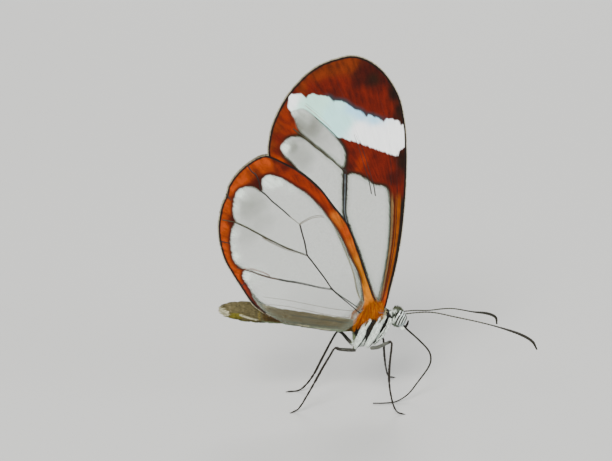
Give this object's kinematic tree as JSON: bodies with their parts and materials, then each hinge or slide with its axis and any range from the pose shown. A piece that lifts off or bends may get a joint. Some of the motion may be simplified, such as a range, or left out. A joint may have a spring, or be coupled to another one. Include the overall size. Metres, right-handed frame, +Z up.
{
  "type": "glasswing butterfly",
  "caption": "Life-size glasswing butterfly at rest on its feet, clear-windowed wings closed over its back, feelers forward and tongue reaching down to the floor.",
  "frame": {"origin": "on the floor under the middle of the insect's bounding box", "axes": "+X towards the head, +Y to the insect's left, +Z up"},
  "size_m": [0.0352, 0.0135, 0.0406],
  "materials": {
    "wing": "rust and orange scales on a clear membrane, with dark veins and a white band",
    "body_scales": "dark brown and white scales and short hair",
    "abdomen_scales": "grey-brown scales, cream below and at the tip",
    "eye": "glossy compound eye",
    "horn": "dark brown horny skin with fine scales"
  },
  "bodies": {
    "root": {"head": "body_scales", "prothorax": "body_scales", "mesothorax": "body_scales", "metathorax": "body_scales", "abdomen_front": "abdomen_scales", "abdomen_middle": "abdomen_scales", "abdomen_rear": "abdomen_scales", "abdomen_tip": "abdomen_scales", "eye_right": "eye", "eye_left": "eye", "palp_right": "body_scales", "palp_left": "body_scales", "antenna_right": "horn", "antenna_left": "horn", "antenna_club_right": "horn", "antenna_club_left": "horn", "proboscis_root": "horn", "proboscis_knee": "horn", "proboscis_lower": "horn", "proboscis_tip": "horn", "foreleg_right": "body_scales", "foreleg_left": "body_scales", "midleg_right_femur": "horn", "midleg_right_tibia": "horn", "midleg_right_tarsus": "horn", "midleg_left_femur": "horn", "midleg_left_tibia": "horn", "midleg_left_tarsus": "horn", "hindleg_right_femur": "horn", "hindleg_right_tibia": "horn", "hindleg_right_tarsus": "horn", "hindleg_left_femur": "horn", "hindleg_left_tibia": "horn", "hindleg_left_tarsus": "horn", "forewing_right": "wing", "forewing_left": "wing", "hindwing_right": "wing", "hindwing_left": "wing"}
  },
  "joints": []
}
